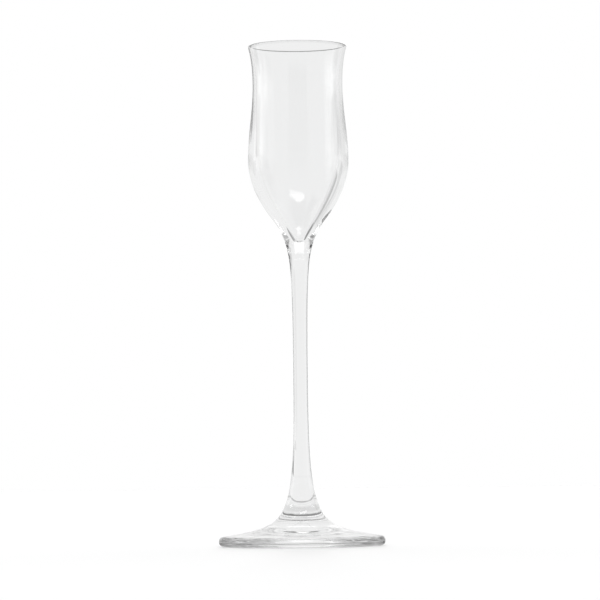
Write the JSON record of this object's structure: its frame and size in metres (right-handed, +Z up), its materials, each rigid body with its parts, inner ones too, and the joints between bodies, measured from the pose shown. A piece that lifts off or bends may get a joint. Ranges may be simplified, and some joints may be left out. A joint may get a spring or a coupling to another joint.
{
  "type": "spirits glass",
  "caption": "Clear stemmed spirits glass: a tulip bowl with a flared lip and a pointed hollow, a slim solid stem and a wide round foot.",
  "frame": {"origin": "middle of the resting ring under the foot, on the table", "axes": "+Z up the axis of the stem to the lip; the glass is round, so +X and +Y are alike and +Y points away from the picture's viewer"},
  "size_m": [0.0664, 0.0664, 0.2],
  "materials": {
    "bowl": "clear, fire-polished, thin at the lip and thick in the heart",
    "stem": "clear, solid, fire-polished",
    "foot": "clear, solid, slightly wavy from the mould, with a rounded edge"
  },
  "bodies": {
    "root": {"bowl": "bowl", "stem": "stem", "foot": "foot"}
  },
  "joints": []
}
